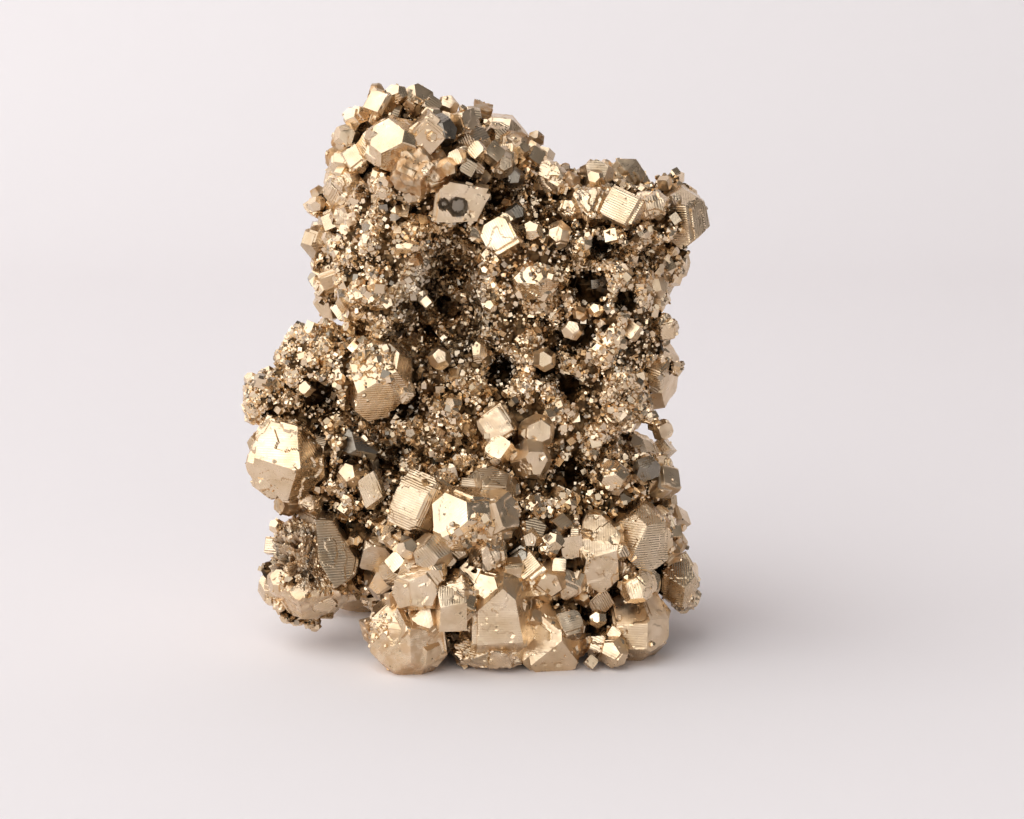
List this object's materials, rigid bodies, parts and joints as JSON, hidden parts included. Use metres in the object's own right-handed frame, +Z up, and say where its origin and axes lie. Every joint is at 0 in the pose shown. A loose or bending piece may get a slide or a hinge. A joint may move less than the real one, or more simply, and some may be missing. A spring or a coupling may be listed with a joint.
{
  "type": "pyrite specimen",
  "caption": "Hand-sized cluster of intergrown brassy pyrite crystals with sparkling fine crystal crusts, a rough open cavity in front and a flat broken base it stands on.",
  "frame": {"origin": "on the flat broken base, under the middle of the cluster", "axes": "+Z up, +X to the right of the show side, which faces -Y"},
  "size_m": [0.0486, 0.0403, 0.0581],
  "materials": {
    "pyrite": "natural metallic crystal faces, bright to lightly tarnished, with rusty and rough patches"
  },
  "bodies": {
    "root": {"pyrite_cluster": "pyrite"}
  },
  "joints": []
}
